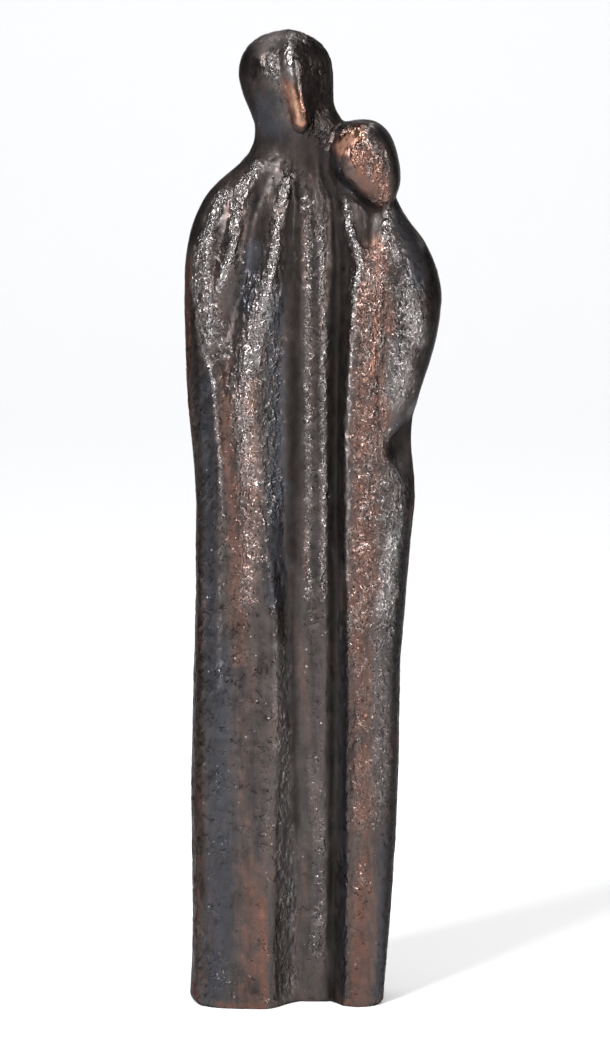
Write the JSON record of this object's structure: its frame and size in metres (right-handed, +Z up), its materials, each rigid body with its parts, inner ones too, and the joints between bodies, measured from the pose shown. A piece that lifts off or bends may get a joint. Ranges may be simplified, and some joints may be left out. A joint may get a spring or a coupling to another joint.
{
  "type": "figure sculpture",
  "caption": "Slim cast-bronze table sculpture of a tall and a shorter robed figure standing close as one column, the shorter one's head resting against the taller one's neck.",
  "frame": {"origin": "point of the flat underside under the middle of the foot, on the plane that the couple stands on", "axes": "+Z up, -Y towards the side that the couple faces, +X towards the shorter figure"},
  "size_m": [0.0526, 0.0263, 0.2],
  "materials": {
    "patinated_bronze": "dark brown to blue-black patina with a light wax on a pitted cast skin, rubbed to bare copper-red on the crests, the faces and the foot"
  },
  "bodies": {
    "root": {"bronze_couple": "patinated_bronze"}
  },
  "joints": []
}
